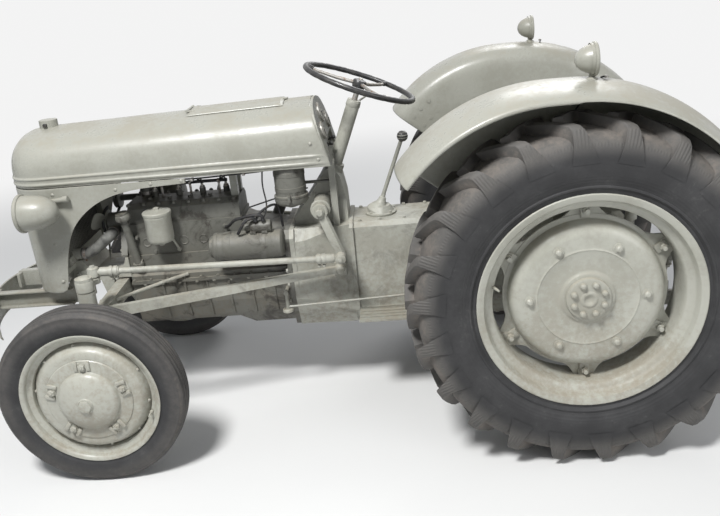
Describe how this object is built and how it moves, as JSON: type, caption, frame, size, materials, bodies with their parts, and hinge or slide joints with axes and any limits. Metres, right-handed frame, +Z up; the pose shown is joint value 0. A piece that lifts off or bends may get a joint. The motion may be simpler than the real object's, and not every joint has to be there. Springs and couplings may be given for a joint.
{
  "type": "vintage farm tractor",
  "caption": "Vintage grey farm tractor with open engine, clamshell fenders, lugged rear tyres, steered narrow front wheels and a rear three-point hitch.",
  "frame": {"origin": "ground point under the middle of the overall length, on the plane of symmetry", "axes": "+X to the front, +Y to the left, +Z up"},
  "size_m": [3.1581, 1.504, 1.45],
  "materials": {
    "paint": "satin",
    "tyre_rubber": "matte",
    "rubber": "matte",
    "black_plastic": "gloss",
    "bare_iron": "matte"
  },
  "bodies": {
    "chassis": {"engine_block": "paint", "oil_pan": "paint", "transmission_case": "paint", "axle_housing": "paint", "lift_cover": "paint", "hood": "paint", "nose_shell": "paint", "grille": "paint", "radiator": "paint", "fan": "paint", "fuel_tank": "paint", "air_cleaner": "paint", "dash_panel": "paint", "steering_box": "paint", "oil_filter": "paint", "starter": "paint", "generator": "paint", "manifold": "bare_iron", "exhaust": "bare_iron", "axle_support": "paint", "front_axle": "paint", "bumper": "paint", "lamps": "paint", "fenders": "paint", "seat": "paint", "footrests": "paint", "pedals": "paint", "levers": "paint", "hoses": "rubber", "cables": "black_plastic", "drawbar": "paint"},
    "knuckle_left_body": {"knuckle_left": "paint"},
    "knuckle_right_body": {"knuckle_right": "paint"},
    "front_left_wheel": {"front_wheel_left": "paint", "front_tyre_left": "tyre_rubber"},
    "front_right_wheel": {"front_wheel_right": "paint", "front_tyre_right": "tyre_rubber"},
    "rear_left_wheel": {"rear_wheel_left": "paint", "rear_tyre_left": "tyre_rubber"},
    "rear_right_wheel": {"rear_wheel_right": "paint", "rear_tyre_right": "tyre_rubber"},
    "pitman_left_body": {"pitman_left": "paint"},
    "pitman_right_body": {"pitman_right": "paint"},
    "drag_left_body": {"drag_link_left": "paint"},
    "drag_right_body": {"drag_link_right": "paint"},
    "steering_wheel_body": {"steering_wheel": "black_plastic"},
    "hood_door_body": {"hood_door": "paint"},
    "lift_arms_body": {"lift_arms": "paint"},
    "lift_rods_body": {"lift_rods": "paint"},
    "lower_links_body": {"lower_links": "paint"}
  },
  "joints": [
    {"name": "rear_left_spin", "type": "hinge", "parent": "chassis", "child": "rear_left_wheel", "pos_m": [-0.77091, 0.611, 0.617], "axis": [0, 1, 0], "continuous": true},
    {"name": "rear_right_spin", "type": "hinge", "parent": "chassis", "child": "rear_right_wheel", "pos_m": [-0.77091, -0.611, 0.617], "axis": [0, 1, 0], "continuous": true},
    {"name": "steer_left", "type": "hinge", "parent": "chassis", "child": "knuckle_left_body", "pos_m": [1.00709, 0.5, 0.7], "axis": [0, 0, 1], "range_deg": [-30, 30]},
    {"name": "steer_right", "type": "hinge", "parent": "chassis", "child": "knuckle_right_body", "pos_m": [1.00709, -0.5, 0.7], "axis": [0, 0, 1], "range_deg": [-30.5, 30.5]},
    {"name": "front_left_spin", "type": "hinge", "parent": "knuckle_left_body", "child": "front_left_wheel", "pos_m": [1.00709, 0.62, 0.345], "axis": [0, 1, 0], "continuous": true},
    {"name": "front_right_spin", "type": "hinge", "parent": "knuckle_right_body", "child": "front_right_wheel", "pos_m": [1.00709, -0.62, 0.345], "axis": [0, 1, 0], "continuous": true},
    {"name": "pitman_left_swing", "type": "hinge", "parent": "chassis", "child": "pitman_left_body", "pos_m": [0.15009, 0.21, 0.856], "axis": [0, -1, 0], "range_deg": [-17.5, 17.5]},
    {"name": "pitman_right_swing", "type": "hinge", "parent": "chassis", "child": "pitman_right_body", "pos_m": [0.15009, -0.21, 0.856], "axis": [0, -1, 0], "range_deg": [-17.5, 17.5]},
    {"name": "drag_left_swing", "type": "hinge", "parent": "pitman_left_body", "child": "drag_left_body", "pos_m": [0.08309, 0.275, 0.68], "axis": [0, -1, 0], "range_deg": [-17.5, 17.5]},
    {"name": "drag_right_swing", "type": "hinge", "parent": "pitman_right_body", "child": "drag_right_body", "pos_m": [0.08309, -0.275, 0.68], "axis": [0, -1, 0], "range_deg": [-17.5, 17.5]},
    {"name": "steering_wheel_turn", "type": "hinge", "parent": "chassis", "child": "steering_wheel_body", "pos_m": [-0.03573, 0, 1.30021], "axis": [-0.3746, 0, 0.9272], "range_deg": [-365, 365]},
    {"name": "hood_door_hinge", "type": "hinge", "parent": "chassis", "child": "hood_door_body", "pos_m": [0.65045, 0, 1.25471], "axis": [0, 1, 0], "range_deg": [0, 75]},
    {"name": "lower_links_lift", "type": "hinge", "parent": "chassis", "child": "lower_links_body", "pos_m": [-0.75091, 0, 0.43], "axis": [0, 1, 0], "range_deg": [0, 26]},
    {"name": "lift_arms_swing", "type": "hinge", "parent": "chassis", "child": "lift_arms_body", "pos_m": [-0.92091, 0, 0.815], "axis": [0, 1, 0], "range_deg": [-0.5, 36]},
    {"name": "lift_rods_swing", "type": "hinge", "parent": "lower_links_body", "child": "lift_rods_body", "pos_m": [-1.14462, 0, 0.476], "axis": [0, 1, 0], "range_deg": [-31.5, 0.5]}
  ],
  "couplings": [
    {"joint": "steer_right", "follows": "steer_left", "ratio": 1},
    {"joint": "pitman_left_swing", "follows": "steer_left", "ratio": 0.56818},
    {"joint": "pitman_right_swing", "follows": "steer_left", "ratio": -0.56818},
    {"joint": "drag_left_swing", "follows": "steer_left", "ratio": -0.52698},
    {"joint": "drag_right_swing", "follows": "steer_left", "ratio": 0.52698},
    {"joint": "steering_wheel_turn", "follows": "steer_left", "ratio": 12},
    {"joint": "lift_arms_swing", "follows": "lower_links_lift", "ratio": 1.3591},
    {"joint": "lift_rods_swing", "follows": "lower_links_lift", "ratio": -1.1806}
  ]
}
